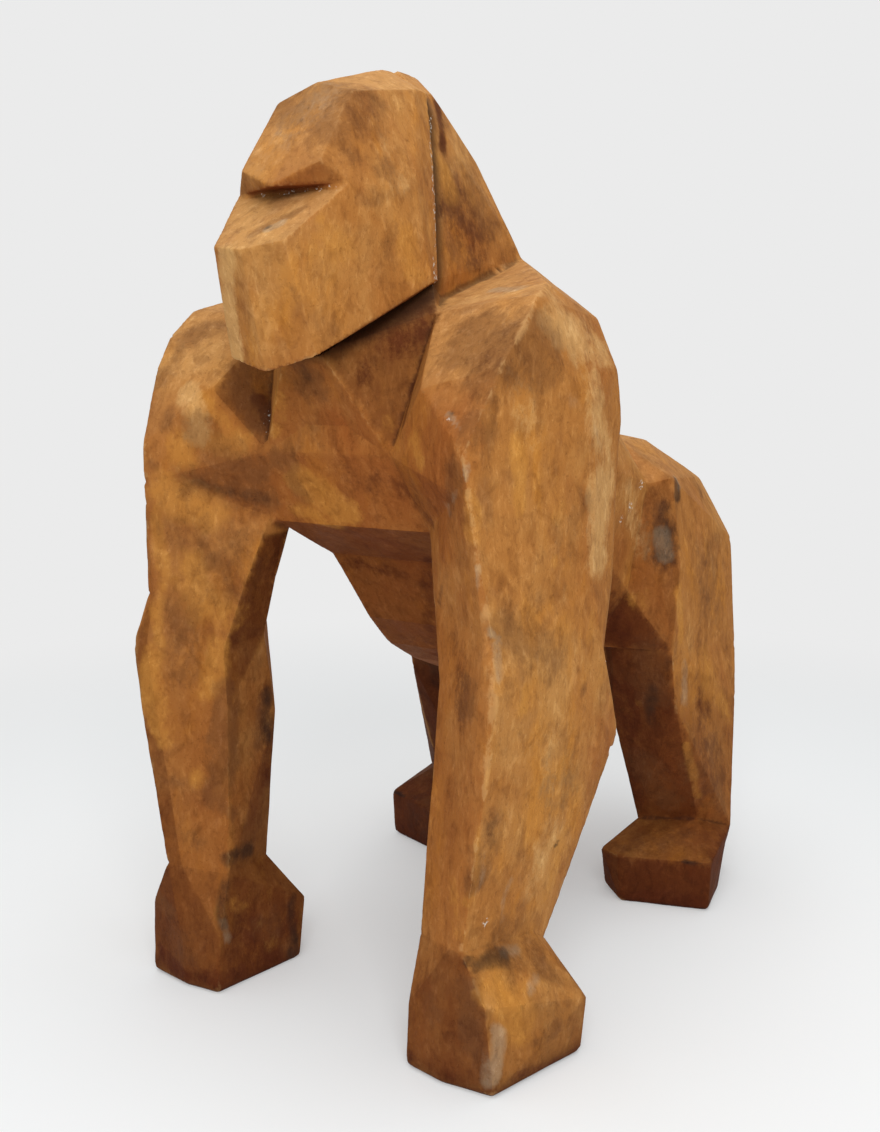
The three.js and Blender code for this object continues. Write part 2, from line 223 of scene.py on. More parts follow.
def softened(shape, name, spacing, passes):
    """A CAD shape on an even grid, with rounded edges and uneven facets, and the CAD facets to look up."""
    numbers = connected(shape, in_one_facet)
    facets = BVHTree.FromBMesh(shape)
    lines = sharp_lines(shape, DOT_SHARE * spacing)
    mesh = bpy.data.meshes.new(name)
    shape.to_mesh(mesh)
    shape.free()
    draft = bpy.data.objects.new(name, mesh)
    bpy.context.collection.objects.link(draft)
    grid = draft.modifiers.new("grid", "REMESH")
    grid.mode = "VOXEL"
    grid.voxel_size = spacing
    smoothed(draft, GRID_PASSES)
    even = as_mesh(draft)
    for vert in even.vertices:
        on_line, _, distance = lines.find(vert.co)
        vert.co = on_line if distance < SNAP_SHARE * spacing else facets.find_nearest(vert.co)[0]
    draft.modifiers.clear()
    draft.data = even
    smoothed(draft, passes)
    for word, (size, depth) in UNEVENNESS.items():
        clouds = bpy.data.textures.new(f"{word}_unevenness", "CLOUDS")
        clouds.noise_scale = size
        uneven = draft.modifiers.new(word, "DISPLACE")
        uneven.texture = clouds
        uneven.texture_coords = "LOCAL"
        uneven.strength = depth
    result = as_mesh(draft)
    bpy.data.objects.remove(draft)
    return result, facets, numbers


head_mesh, head_facets, head_numbers = softened(head_shape, "head_draft", HEAD_GRID, HEAD_PASSES)
skin_mesh, skin_facets, skin_numbers = softened(skin, "skin_draft", SKIN_GRID, SKIN_PASSES)
print("softened grid:", len(head_mesh.polygons), "faces on the head,",
      len(skin_mesh.polygons), "on the rest")

# %% [markdown]
# ## Ridges and creases
# Wear sits on the ridges and painted shade sits in the creases, so the paint has to know where these are.
# Pointiness in a shader would do, but an attribute in the mesh also survives an export. It is the height of
# each point, in millimetres, above a copy of the surface that is smoothed much further. A second attribute
# tells how near the joint between head and nape is, because the painted shade there spreads further than in
# the other creases.

# %% Measure the ridges
RIDGE_PASSES = {"head": 24, "skin": 14}
RIDGE_FACTOR = 0.5
CONTACT_REACH = 20 * MM
# How far the painted shade beside the joint spreads, in mm, on each side.
JOINT_SHADE_SPREAD = {"head": 1, "skin": 4}
CROWN_LOW = 584 * MM


def measure_ridges(mesh, passes):
    """Stores how far each point stands above the smoothed surface, in mm, or below it if negative."""
    shape = bmesh.new()
    shape.from_mesh(mesh)
    before = [(v.co.copy(), v.normal.copy()) for v in shape.verts]
    for _ in range(passes):
        bmesh.ops.smooth_vert(shape, verts=shape.verts, factor=RIDGE_FACTOR,
                              use_axis_x=True, use_axis_y=True, use_axis_z=True)
    heights = [(place - v.co).dot(normal) / MM for v, (place, normal) in zip(shape.verts, before)]
    shape.free()
    mesh.attributes.new("ridge", "FLOAT", "POINT").data.foreach_set("value", heights)
    return min(heights), max(heights)


def measure_contact(mesh, other, spread):
    """Stores how far each point is from the piece that it touches, as shares of a spread in millimetres."""
    other_shape = bmesh.new()
    other_shape.from_mesh(other)
    other_tree = BVHTree.FromBMesh(other_shape)
    other_shape.free()
    found = [other_tree.find_nearest(vert.co, CONTACT_REACH)[3] for vert in mesh.vertices]
    distances = [gap if gap is not None and vert.co.z < CROWN_LOW else CONTACT_REACH
                 for gap, vert in zip(found, mesh.vertices)]
    distances = [distance / (spread * MM) for distance in distances]
    mesh.attributes.new("contact", "FLOAT", "POINT").data.foreach_set("value", distances)
    return sum(gap is not None for gap in found)


for word, mesh, other in (("head", head_mesh, skin_mesh), ("skin", skin_mesh, head_mesh)):
    heights = measure_ridges(mesh, RIDGE_PASSES[word])
    print(word, "ridge heights in mm:", [round(height, 2) for height in heights])
    print(word, "points close to the joint:", measure_contact(mesh, other, JOINT_SHADE_SPREAD[word]))

# %% [markdown]
# ## Painted shade on whole facets
# Some facets are painted dark as a whole, up to their edges: those of the throat, the brow's underside,
# the inner arms, the fists, the shins and the feet. This is painted shade, with some dark paint in it. A
# stroke placed in space would spill over such an edge. So the triangles of the CAD model are gathered into
# flat facets, each dark facet is named by one point on it, and every point of the skin takes the tone of
# the facet that it lies on.

# %% List the dark facets
# How dark: points in mm that stand for a facet on either side, and points for one facet alone.
SHADED = {
    1.0: ([
        (72, 100, 12), (150, 125, 33), (146, 142, 14), (109, 100, 3), (68, -133, 298), (70, -145, 291)
    ], [
        (-126, 102, 33), (-119, 101, 14), (-107, 103, 162), (-108, 107, 151), (-118, 121, 115),
        (-132, 134, 105), (125, 102, 28), (108, 97, 16)
    ]),
    0.9: ([
        (69, 95, 196), (83, 92, 196), (66, 101, 182), (93, 77, 230), (92, 83, 213), (81, 89, 27),
        (76, -147, 265), (80, -151, 245)
    ], [
        (88, 102, 170), (85, 119, 114), (-142, 144, 50), (-128, 123, 49)
    ]),
    0.8: ([
        (108, 93, 201), (116, 97, 182), (72, -159, 29), (84, -162, 223), (72, -156, 2), (68, 148, 2),
        (70, 140, 28), (75, 128, 50), (117, 176, 52), (74, 180, 16), (82, 192, 50), (107, 211, 2),
        (99, 208, 49), (128, 192, 2), (137, 174, 16), (131, 192, 29), (139, 177, 45)
    ], [
        (-121, -195, 39), (118, 129, 95), (42, -145, 448), (-95, -195, 14), (95, 212, 29), (-109, 212, 16)
    ]),
    0.7: ([
        (99, 124, 52), (81, -144, 114), (78, -137, 68)
    ], [
        (-98, -194, 43), (121, -194, 31), (141, 142, 51)
    ]),
    0.6: ([
        (76, 100, 44), (72, -112, 17), (93, -115, 60), (78, -104, 28), (104, -102, 2), (103, -100, 14),
        (120, -105, 42), (150, -144, 2), (146, -112, 43), (149, -107, 10), (155, -114, 22)
    ], [
        (44, -159, 414), (-60, -163, 391), (96, -195, 15), (114, 113, 47), (-125, -195, 150),
        (-132, -194, 244), (90, -191, 44)
    ]),
    0.5: ([
        (119, 95, 273), (114, 93, 311), (154, -138, 14), (81, -156, 173), (67, 166, 113), (69, 130, 112),
        (83, 209, 116), (105, 211, 85), (136, 192, 85), (121, 209, 117)
    ], [
        (4, -193, 516), (-20, -122, 306), (-87, -186, 65), (132, 140, 91)
    ]),
    0.4: ([
        (133, 160, 126), (100, 78, 262), (86, 60, 248), (146, -165, 29)
    ], [
        (-12, -79, 259), (-20, -54, 228), (-20, -25, 209), (91, -186, 73), (49, -152, 453)
    ]),
    0.3: ([
        (128, 152, 173), (134, -147, 69)
    ], [
        (-81, -171, 342), (66, -164, 400), (-127, -192, 291), (-90, -176, 171), (23, -202, 521),
        (-25, -200, 519)
    ]),
    0.2: ([], [
        (74, -168, 345), (46, -84, 493), (-105, -179, 296), (32, -188, 538)
    ]),
}
print("dark facets:", sum(2 * len(pairs) + len(alone) for pairs, alone in SHADED.values()))

# %% Shade whole facets
SEED_REACH = 1.5 * MM
PROBE = 1.5 * MM


def shade_facets(mesh, facets, numbers):
    """Stores how dark each point's facet is painted, with narrow gaps closed and the edges softened."""
    tones = {}
    for strength, (pairs, alone) in SHADED.items():
        for seed in alone + [(side * x, y, z) for x, y, z in pairs for side in (1, -1)]:
            _, _, triangle, distance = facets.find_nearest(Vector(seed) * MM)
            if distance < SEED_REACH:
                tones[numbers[triangle]] = strength
    probes = [vert.co + vert.normal * PROBE for vert in mesh.vertices]
    tone = np.array([tones.get(numbers[facets.find_nearest(probe)[2]], 0) for probe in probes])
    ends = np.array([edge.vertices[:] for edge in mesh.edges]).T
    for pick in (np.maximum, np.minimum):
        closed = tone.copy()
        pick.at(closed, ends[0], tone[ends[1]])
        pick.at(closed, ends[1], tone[ends[0]])
        tone = closed
    total, count = tone.copy(), np.ones(len(tone))
    for here, there in (ends, ends[::-1]):
        np.add.at(total, here, tone[there])
        np.add.at(count, here, 1)
    tone = (total / count).astype(np.float32)
    mesh.attributes.new("shade", "FLOAT", "POINT").data.foreach_set("value", tone)
    return len(tones)


print("facets shaded on the head:", shade_facets(head_mesh, head_facets, head_numbers))
print("facets shaded on the rest:", shade_facets(skin_mesh, skin_facets, skin_numbers))

# %% [markdown]
# ## Placed stains and painted shade
# Other stains follow no edge. The wash strokes are painted shade, with some dark wash in the pockets: under
# the jaw, beside the head's joint, in hollows and round the bottoms of the fists and feet. Some umber
# strokes, on the hood and the hind legs, are painted shade too. All of these could be painted by hand in
# Texture Paint, but strokes in a list can be read and corrected later. Each is a stroke between two points,
# or a dab at one, in millimetres, with a width and a strength. A noise bends the strokes a little, so that
# they look brushed and not ruled. The far side was not seen, so it gets strokes of its own and the mirror
# image of those on the left.

# %% List the strokes
STROKES = {
    # Most umber strokes are stains; those on the hood and the hind legs are painted shade.
    "umber": [
        ((16, -165, 575), (29, -177, 559), 8.5, 0.8), ((30, -155, 570), (35, -158, 556), 6.3, 0.7),
        ((37, -184, 534), (43, -158, 528), 7.3, 0.6), ((-3, -178, 563), (6, -192, 542), 5.7, 0.5),
        ((48, -163, 485), (47, -165, 466), 5.2, 0.6), ((101, -163, 426), (129, -170, 423), 13.1, 1),
        ((125, -179, 409), (130, -176, 416), 10.7, 0.9), ((28, -222, 459), (29, -219, 452), 2.7, 0.6),
        ((43, -182, 510), (49, -146, 513), 4, 0.5), ((42, -79, 516), 12, 0.7),
        ((46, -95, 488), (49, -66, 483), 5.7, 0.7), ((25, -70, 569), 5.1, 0.8),
        ((-1, -225, 487), (8, -216, 494), 3.3, 0.7), ((8, -216, 494), (19, -208, 502), 3.3, 0.7),
        ((-16, -219, 491), 3.9, 0.5), ((103, -157, 433), (133, -167, 421), 14.3, 0.9),
        ((133, -167, 421), (139, -146, 425), 14.2, 0.9), ((115, -180, 405), (125, -172, 420), 3.2, 0.8),
        ((125, -191, 382), 9.6, 0.9), ((113, -194, 355), (105, -185, 340), 6, 0.8),
        ((67, -163, 344), 7.6, 0.7), ((147, -114, 335), (144, -130, 316), 9.2, 0.55),
        ((140, -153, 286), 7.9, 0.5), ((136, -179, 271), (145, -144, 253), 11.2, 0.8),
        ((114, -186, 231), 8.9, 0.9), ((149, -106, 222), 3, 0.8),
        ((134, -184, 168), (131, -183, 151), 6.2, 0.7), ((129, -190, 143), (126, -194, 132), 6.2, 0.9),
        ((130, -148, 99), (127, -148, 86), 5.4, 0.7), ((124, -162, 85), (131, -163, 72), 8.8, 0.9),
        ((135, -138, 68), (145, -137, 56), 6.6, 0.8), ((118, -195, 66), (125, -194, 51), 6.3, 0.9),
        ((125, -194, 51), (128, -193, 27), 6.3, 0.9), ((95, -193, 46), 5.9, 0.8),
        ((149, -156, 25), (153, -144, 29), 3.6, 0.7), ((-124, -158, 437), (-102, -150, 440), 6.6, 0.8),
        ((-122, -167, 425), (-122, -178, 410), 5.2, 0.6), ((-108, -191, 383), 5.7, 0.8),
        ((-86, -182, 377), (-75, -176, 361), 8.9, 0.9), ((-75, -176, 361), (-60, -162, 349), 8.9, 0.9),
        ((-109, -185, 314), (-78, -160, 300), 14.4, 0.6), ((-78, -160, 300), (-89, -167, 277), 14.5, 0.6),
        ((-93, -170, 287), 5.9, 1), ((-108, -180, 257), (-109, -184, 222), 10.6, 0.7),
        ((-34, -162, 360), (-33, -150, 336), 5.1, 0.8), ((-14, -164, 374), 9.2, 0.6),
        ((-72, -162, 418), (-56, -164, 380), 7, 0.9), ((-6, -180, 413), (0, -177, 406), 7.7, 1),
        ((-118, -196, 351), 4.5, 0.7), ((-86, -171, 203), (-83, -171, 171), 6.7, 0.95),
        ((-83, -171, 171), (-87, -177, 133), 6.7, 0.95), ((-80, -167, 123), 4.7, 0.8),
        ((-125, -194, 55), (-116, -195, 51), 4.1, 0.9), ((-105, -196, 30), 10.8, 0.6),
        ((-71, -146, 36), 9.7, 0.7), ((-67, -129, 9), 6.4, 0.9),
        ((-80, -135, 191), (-80, -140, 162), 5.5, 0.9), ((-112, -190, 142), 5.4, 0.7),
        ((-103, -188, 101), 6.7, 0.6), ((110, 87, 312), 7.4, 0.9),
        ((114, 90, 299), (115, 90, 278), 9.7, 0.7), ((106, 91, 205), (104, 99, 174), 13, 0.9),
        ((102, 177, 328), (108, 173, 321), 3.2, 0.8), ((123, 177, 284), 3.2, 0.8),
        ((99, 41, 310), (147, -69, 299), 5.3, 0.5), ((129, 142, 78), 8, 0.6),
        ((-98, -182, 345), (-63, -153, 333), 8.4, 0.8), ((95, -174, 304), (79, -160, 278), 1.7, 0.8),
        ((-86, -171, 205), (-87, -173, 171), 6, 1), ((124, 149, 270), (125, 163, 236), 17.3, 0.7),
        ((130, 134, 130), (131, 136, 96), 14.2, 0.7), ((128, -173, 419), 12.9, 1),
        ((-12, -173, 570), (24, -188, 546), 12.6, 0.75), ((38, -61, 532), (43, -55, 514), 14.2, 0.8),
        ((143, -125, 176), (142, -116, 158), 13.2, 0.6), ((147, -154, 47), (152, -144, 42), 7.1, 0.6),
        ((-44, -161, 358), (-34, -158, 352), 5.1, 0.9), ((87, 120, 109), (105, 134, 76), 9.6, 0.8),
        ((88, 101, 45), (127, 129, 52), 7.9, 0.6), ((134, 149, 118), (141, 157, 76), 9.6, 0.9),
        ((-40, 232, 300), (-10, 234, 270), 18, 0.7), ((55, 230, 240), (70, 228, 215), 16, 0.7),
        ((-75, 225, 225), (-60, 228, 205), 16, 0.6), ((0, 60, 420), (20, 100, 400), 20, 0.6),
        ((-40, -10, 460), (-50, 30, 440), 16, 0.6), ((-155, -100, 360), (-150, -110, 320), 16, 0.7),
        ((-140, 150, 300), (-140, 170, 270), 18, 0.8), ((-135, -130, 180), (-135, -125, 150), 14, 0.8),
    ],
    "black": [
        ((-95, -180, 343), (-82, -167, 337), 3.9, 0.55), ((-82, -167, 337), (-63, -153, 333), 3.9, 0.55),
        ((124, -191, 75), (131, -167, 72), 3.2, 0.8), ((121, -193, 80), 2.3, 0.9),
        ((133, -185, 166), (131, -184, 154), 3.4, 0.45), ((-80, -178, 90), (-82, -150, 87), 4.8, 0.8),
        ((-81, -181, 73), (-77, -184, 47), 4, 0.75), ((114, 107, 336), (117, 106, 326), 3.7, 1),
        ((138, -118, 128), 1.6, 1), ((143, -167, 50), 1.7, 0.7), ((131, 104, 39), (151, 113, 39), 1.6, 1),
        ((-3, -179, 411), 4.2, 0.7), ((-80, -135, 194), (-80, -135, 159), 4.1, 0.7),
        ((-67, -128, 5), 4.3, 0.8), ((99, 107, 151), (104, 99, 174), 6.2, 0.6), ((7, -220, 491), 1.7, 0.7),
        ((105, -188, 389), 1.6, 0.7), ((114, 90, 303), (116, 91, 280), 6.7, 0.45),
        ((-118, 99, 23), (-113, 99, 13), 12.4, 0.45), ((-68, -127, 43), (-67, -124, 7), 3.6, 0.7),
        ((114, 93, 312), (115, 90, 280), 8.2, 0.62),
    ],
    "ochre": [
        ((-6, -198, 533), 4, 0.6), ((34, -208, 497), 2.7, 0.8),
        ((50, -151, 489), (53, -144, 474), 5.8, 0.8), ((36, -201, 479), 11.1, 0.7),
        ((36, -93, 540), (39, -87, 526), 6.2, 0.9), ((-31, -174, 399), (-44, -165, 376), 5.6, 0.9),
        ((-84, -181, 399), (-66, -172, 370), 3.8, 0.8), ((-109, -188, 336), (-90, -171, 323), 9.7, 1),
        ((-97, -187, 364), 8.3, 0.9), ((-110, -193, 356), (-121, -188, 292), 3.2, 0.9),
        ((-121, -188, 292), (-123, -191, 238), 3.3, 0.9), ((-97, -172, 265), (-85, -166, 257), 8.6, 0.8),
        ((-127, -194, 228), (-128, -195, 197), 6, 1), ((-125, -194, 201), (-119, -192, 173), 5.3, 0.9),
        ((-89, -170, 238), (-95, -176, 205), 5.3, 0.8), ((-99, -183, 145), 6, 0.7),
        ((-43, -147, 328), (-13, -143, 320), 5.1, 0.8), ((134, -162, 375), (134, -162, 342), 3.9, 1),
        ((121, -193, 323), (126, -192, 343), 4.3, 0.8), ((144, -135, 302), 2.9, 0.8),
        ((143, -167, 237), (142, -172, 224), 3.3, 1), ((141, -182, 233), 2.2, 0.8),
        ((145, -121, 186), (143, -125, 178), 2.4, 1), ((72, -175, 374), (80, -179, 362), 5.6, 0.8),
        ((136, -197, 200), (124, -194, 119), 2.2, 0.9), ((144, -103, 160), (133, -119, 96), 5.5, 0.6),
        ((135, -179, 60), (143, -170, 42), 9.8, 0.9), ((141, -159, 58), 2.9, 0.8),
        ((126, -194, 62), (133, -194, 55), 1.7, 0.8), ((101, 78, 248), 6.7, 0.5),
        ((123, 101, 249), (123, 106, 216), 3.8, 1), ((126, 147, 192), (133, 185, 139), 7.2, 0.7),
        ((87, 106, 159), (92, 109, 150), 4.7, 0.35), ((127, 121, 126), (127, 138, 83), 3.1, 0.9),
        ((150, -100, 267), (150, -102, 255), 3.6, 0.7), ((142, -129, 357), (143, -134, 329), 4.6, 0.5),
        ((-88, -183, 388), 5.7, 1), ((-84, -181, 371), (-64, -171, 366), 5.1, 0.9),
        ((-29, -154, 345), (1, -147, 329), 7.5, 1), ((-105, -178, 283), (-101, -174, 263), 9.2, 0.9),
        ((47, -161, 382), (58, -169, 371), 4.1, 0.4), ((-76, -170, 60), (-73, -151, 61), 5.5, 0.4),
        ((-70, -145, 19), (-72, -153, 36), 4.9, 0.35), ((111, -191, 126), (117, -194, 99), 4.6, 0.6),
        ((-83, -185, 63), (-77, -188, 34), 2.7, 0.5), ((20, 233, 310), (45, 231, 290), 14, 0.8),
        ((-60, 150, 380), (-30, 170, 372), 16, 0.7), ((-130, 150, 250), (-135, 140, 200), 14, 0.8),
        ((-110, -20, 330), (-105, 20, 300), 16, 0.8),
    ],
    "grey": [
        ((104, -188, 388), (118, -196, 375), 1.6, 1), ((118, -196, 375), (124, -198, 348), 1.6, 1),
        ((128, -193, 304), (131, -191, 289), 1.6, 0.9), ((131, -191, 289), (136, -191, 257), 1.6, 0.9),
        ((135, -185, 267), (139, -189, 246), 2.7, 0.7), ((107, -187, 341), (115, -194, 346), 2.2, 0.7),
        ((137, -186, 37), (137, -191, 16), 4.6, 1), ((144, -154, 55), (144, -148, 57), 3.6, 0.8),
        ((9, -221, 490), (14, -218, 493), 2.7, 1), ((83, -101, 462), (108, -113, 461), 3.6, 0.9),
        ((-76, -181, 36), (-77, -183, 47), 3.4, 0.7), ((129, -189, 148), (125, -192, 124), 2.2, 0.6),
        ((130, -161, 120), (125, -164, 92), 2.9, 0.7), ((129, -169, 74), (132, -151, 71), 2.9, 0.6),
        ((111, 113, 337), (116, 110, 332), 3, 0.9), ((124, 114, 191), (123, 114, 164), 3.8, 0.7),
        ((105, -185, 332), (91, -176, 341), 2.8, 0.5), ((150, -101, 385), (149, -93, 367), 3.5, 0.5),
        ((144, -128, 399), (148, -112, 397), 4.5, 0.4), ((-11, -195, 537), (9, -175, 568), 11.4, 0.5),
        ((113, 90, 295), (115, 90, 280), 4.5, 0.9),
    ],
    "chip": [
        ((52, -124, 478), (54, -124, 466), 3.6, 1), ((28, -92, 569), (38, -105, 547), 3.7, 0.9),
        ((38, -105, 547), (44, -112, 516), 3.6, 0.9), ((44, -112, 516), (50, -118, 486), 3.6, 0.9),
        ((-29, -193, 514), (0, -193, 514), 3.5, 0.85), ((0, -193, 514), (33, -194, 513), 3.4, 0.85),
        ((-53, -157, 388), (-50, -162, 371), 3.8, 0.8), ((103, 71, 334), 4.4, 1), ((101, 58, 318), 4.3, 1),
        ((99, 46, 309), 4.3, 0.9), ((103, -187, 389), (107, -189, 386), 3.2, 0.8),
        ((-6, -180, 413), 3.6, 0.8), ((97, 76, 277), (100, 79, 299), 4.4, 0.7), ((123, -178, 98), 3.5, 1),
        ((50, -151, 464), (55, -137, 468), 3.5, 0.7),
    ],
    "dust": [
        ((75, -119, 455), (133, -116, 450), 8.2, 0.6), ((138, -130, 436), (143, -83, 426), 9.2, 0.8),
        ((147, -104, 408), (149, -84, 349), 9.4, 0.8), ((149, -92, 344), (149, -93, 302), 9.5, 1),
        ((144, -131, 306), (145, -127, 282), 8.1, 0.3), ((135, -163, 403), (136, -154, 381), 9.9, 0.4),
        ((144, -145, 203), (142, -116, 158), 10.6, 0.4), ((132, -140, 107), (138, -127, 141), 8.4, 0.5),
        ((-96, -182, 399), (-87, -183, 377), 7, 0.9), ((-126, -160, 435), (-101, -167, 421), 6.5, 0.3),
        ((101, 47, 324), (100, 79, 292), 10.2, 0.5), ((-16, -230, 473), (-29, -213, 428), 6.8, 1),
        ((39, -150, 545), (47, -151, 522), 9.2, 0.4), ((-20, 40, 440), (20, 60, 430), 18, 0.7),
        ((0, 190, 365), (30, 200, 360), 18, 0.6), ((-150, -110, 420), (-152, -90, 380), 16, 0.8),
        ((-155, -120, 330), (-155, -115, 280), 14, 0.6),
    ],
    # Painted shade, with some dark wash in the pockets.
    "wash_and_shade": [
        ((-57, -157, 396), (-53, -161, 380), 3.8, 1), ((100, -174, 262), (110, -184, 219), 7.9, 0.5),
        ((86, 62, 248), (85, 75, 223), 9, 0.6), ((41, -83, 520), (46, -67, 497), 13.9, 0.6),
        ((127, -171, 421), 11.9, 0.5), ((-80, -135, 198), (-82, -135, 133), 6.9, 0.6),
        ((-68, -129, 27), 8.5, 0.7), ((-115, -194, 4), (-80, -192, 10), 6.1, 0.7),
        ((48, -153, 427), (57, -141, 443), 5.3, 0.8), ((58, -141, 437), (57, -152, 405), 2.9, 0.8),
        ((57, -152, 405), (56, -163, 382), 2.9, 0.8), ((-42, -93, 285), (3, -91, 282), 4.1, 0.6),
        ((32, -100, 293), (2, -54, 228), 5.4, 0.6), ((80, 102, 170), (83, 130, 72), 7.2, 0.7),
        ((113, -193, 1), (136, -192, 5), 5.2, 0.6), ((100, 96, 5), (144, 110, 8), 6.3, 0.7),
        ((11, -160, 357), (37, -154, 343), 8.5, 0.5), ((46, -157, 349), (65, -152, 329), 9.5, 0.55),
        ((32, -171, 413), (45, -155, 428), 5.9, 0.6), ((-73, -164, 36), (-71, -154, 11), 9.6, 0.6),
        ((108, 86, 321), (117, 92, 273), 8.9, 0.5), ((20, -73, 581), (33, -86, 550), 3.8, 0.9),
        ((33, -86, 550), (43, -99, 503), 2.5, 0.7), ((-126, -193, 16), (-103, -196, 8), 5.5, 0.8),
        ((-75, -180, 9), (-67, -124, 3), 4.9, 0.7), ((82, -192, 10), (133, -192, 7), 4.1, 0.7),
        ((141, -183, 5), (156, -125, 4), 3, 0.6), ((124, 143, 207), (139, 147, 86), 10.3, 0.5),
    ],
}
print("strokes:", {stain: len(strokes) for stain, strokes in STROKES.items()})

# %% Brush on the stains
SIDE_OUT = 95
SIDE_FRONT = -130
for strokes in STROKES.values():
    strokes += [(*[(-x, y, z) for x, y, z in ends], width, strength) for *ends, width, strength in strokes
                if all(x > SIDE_OUT and y > SIDE_FRONT for x, y, _ in ends)]
WARP_SIZE = 30
WARP_REACH = 7
WARP_SEED = 291
FADE = 2.2


def brushed(points, strokes):
    """The weight of the strongest stroke at each point: full in its middle, fading softly to none."""
    weight = np.zeros(len(points), np.float32)
    for *ends, width, strength in strokes:
        start, run = np.array(ends[0]), np.array(ends[-1]) - np.array(ends[0])
        share = np.clip((points - start) @ run / max(run @ run, 1), 0, 1)
        away = np.linalg.norm(points - start - np.outer(share, run), axis=1) / (FADE * width)
        weight = np.maximum(weight, strength * np.clip(1 - away * away, 0, 1))
    return weight


# This noise starts from the clock unless it is given a seed.
noise.seed_set(WARP_SEED)
for mesh in (head_mesh, skin_mesh):
    points = np.array([vert.co / MM for vert in mesh.vertices])
    warp = np.array([noise.noise_vector(vert.co / MM / WARP_SIZE) for vert in mesh.vertices])
    for stain, strokes in STROKES.items():
        reach = 0 if stain == "chip" else WARP_REACH
        weight = brushed(points + reach * warp, strokes).astype(np.float32)
        mesh.attributes.new(stain, "FLOAT", "POINT").data.foreach_set("value", weight)
    print(mesh.name, "takes", sum(map(len, STROKES.values())), "strokes")

# %% [markdown]
# ## Parting the skin into castings
# The assembly keeps its castings, so the skin is cut where the seams are. Each plane would also cut
# whatever else it crosses, so each cut is given only the faces of its own limb. The cut edges are then
# split, which leaves six loose shells, and each shell's open rim is closed with a cap across its wall. The
# rim's edges are marked sharp, so the paint shades straight on over the seam.

# %% Cut along the seams
ARMPIT_OUT = 60 * MM
ARMPIT_BACK = -128.5 * MM
ARMPIT_SLANT = 0.75
LEG_FRONT = 73.5 * MM


def in_arm(place):
    """Whether a point near the height of the arm seam belongs to an arm and not to the chest."""
    return abs(place.x) - ARMPIT_OUT > ARMPIT_SLANT * max(0, place.y - ARMPIT_BACK)


def in_leg(place):
    """Whether a point near the height of the leg seam belongs to a leg and not to the belly."""
    return place.y > LEG_FRONT


def anywhere(place):
    """The waist seam crosses the whole trunk."""
    return True


SEAM_BAND = 12 * MM
SEAMS = [
    ((0, SEAM_BACK_WAIST, 0), (0, 1, 0), beyond_waist_seam, anywhere),
    ((0, 0, SEAM_HEIGHT_ARM), (-SEAM_SLOPE_ARM, 0, 1), beyond_arm_seam, lambda p: p.x > 0 and in_arm(p)),
    ((0, 0, SEAM_HEIGHT_ARM), (SEAM_SLOPE_ARM, 0, 1), beyond_arm_seam, lambda p: p.x < 0 and in_arm(p)),
    ((0, 0, SEAM_HEIGHT_LEG), (0, 0, 1), beyond_leg_seam, in_leg),
]
body = bmesh.new()
body.from_mesh(skin_mesh)
for place, normal, beyond, belongs in SEAMS:
    near = []
    for face in body.faces:
        middle = face.calc_center_median()
        if abs(beyond(middle)) < SEAM_BAND and belongs(middle):
            near.append(face)
    near_edges = dict.fromkeys(edge for face in near for edge in face.edges)
    near_verts = dict.fromkeys(vert for face in near for vert in face.verts)
    cut = bmesh.ops.bisect_plane(body, geom=[*near_verts, *near_edges, *near], dist=0, plane_co=place,
                                 plane_no=normal)["geom_cut"]
    rim = [part for part in cut if isinstance(part, bmesh.types.BMEdge)]
    bmesh.ops.split_edges(body, edges=rim)
    print("seam at", [round(value / MM) for value in place], "has", len(rim), "edges")

# %% Separate the castings and cap their rims


def casting_name(faces):
    """Which casting some faces belong to: a limb lies all below its seam, and the waist parts the trunk."""
    corners = [vert.co for face in faces for vert in face.verts]
    middle = sum(corners, Vector()) / len(corners)
    end = "front" if beyond_waist_seam(middle) < 0 else "back"
    if max(map(beyond_arm_seam, corners)) < SEAM_REACH:
        side = "left" if middle.x > 0 else "right"
        return {"front": f"{side}_arm", "back": f"{side}_leg"}[end]
    return {"front": "chest", "back": "haunch"}[end]


def capped(shape):
    """Closes each open rim with a flat cap on its seam's plane, and keeps the rim sharp."""
    for _, normal, beyond, belongs in SEAMS:
        rim = []
        for edge in shape.edges:
            middle = (edge.verts[0].co + edge.verts[1].co) / 2
            if edge.is_boundary and abs(beyond(middle)) < SEAM_REACH and belongs(middle):
                rim.append(edge)
        if rim:
            bmesh.ops.triangle_fill(shape, edges=rim, use_beauty=True, normal=normal)
            for edge in rim:
                edge.smooth = False
    bmesh.ops.recalc_face_normals(shape, faces=shape.faces)
    return [edge for edge in shape.edges if not edge.is_manifold]


def finished(shape, name):
    """A mesh object in the scene, shaded smooth except at its sharp edges."""
    for face in shape.faces:
        face.smooth = True
    mesh = bpy.data.meshes.new(name)
    shape.to_mesh(mesh)
    shape.free()
    piece = bpy.data.objects.new(name, mesh)
    bpy.context.collection.objects.link(piece)
    return piece


shells = {}
for number, shell in connected(body, lambda edge: True).items():
    shells.setdefault(shell, []).append(number)
body.faces.ensure_lookup_table()
faces_of = {}
for shell in shells.values():
    name = casting_name([body.faces[number] for number in shell])
    faces_of.setdefault(name, set()).update(shell)
castings = {}
for name, own in faces_of.items():
    shape = body.copy()
    others = [face for face in shape.faces if face.index not in own]
    bmesh.ops.delete(shape, geom=others, context="FACES")
    left_open = capped(shape)
    print(name, "casting:", len(shape.faces), "faces,", len(left_open), "edges left open")
    castings[name] = finished(shape, f"{name}_skin")
body.free()
head_ready = bmesh.new()
head_ready.from_mesh(head_mesh)
castings["head"] = finished(head_ready, "head_skin")
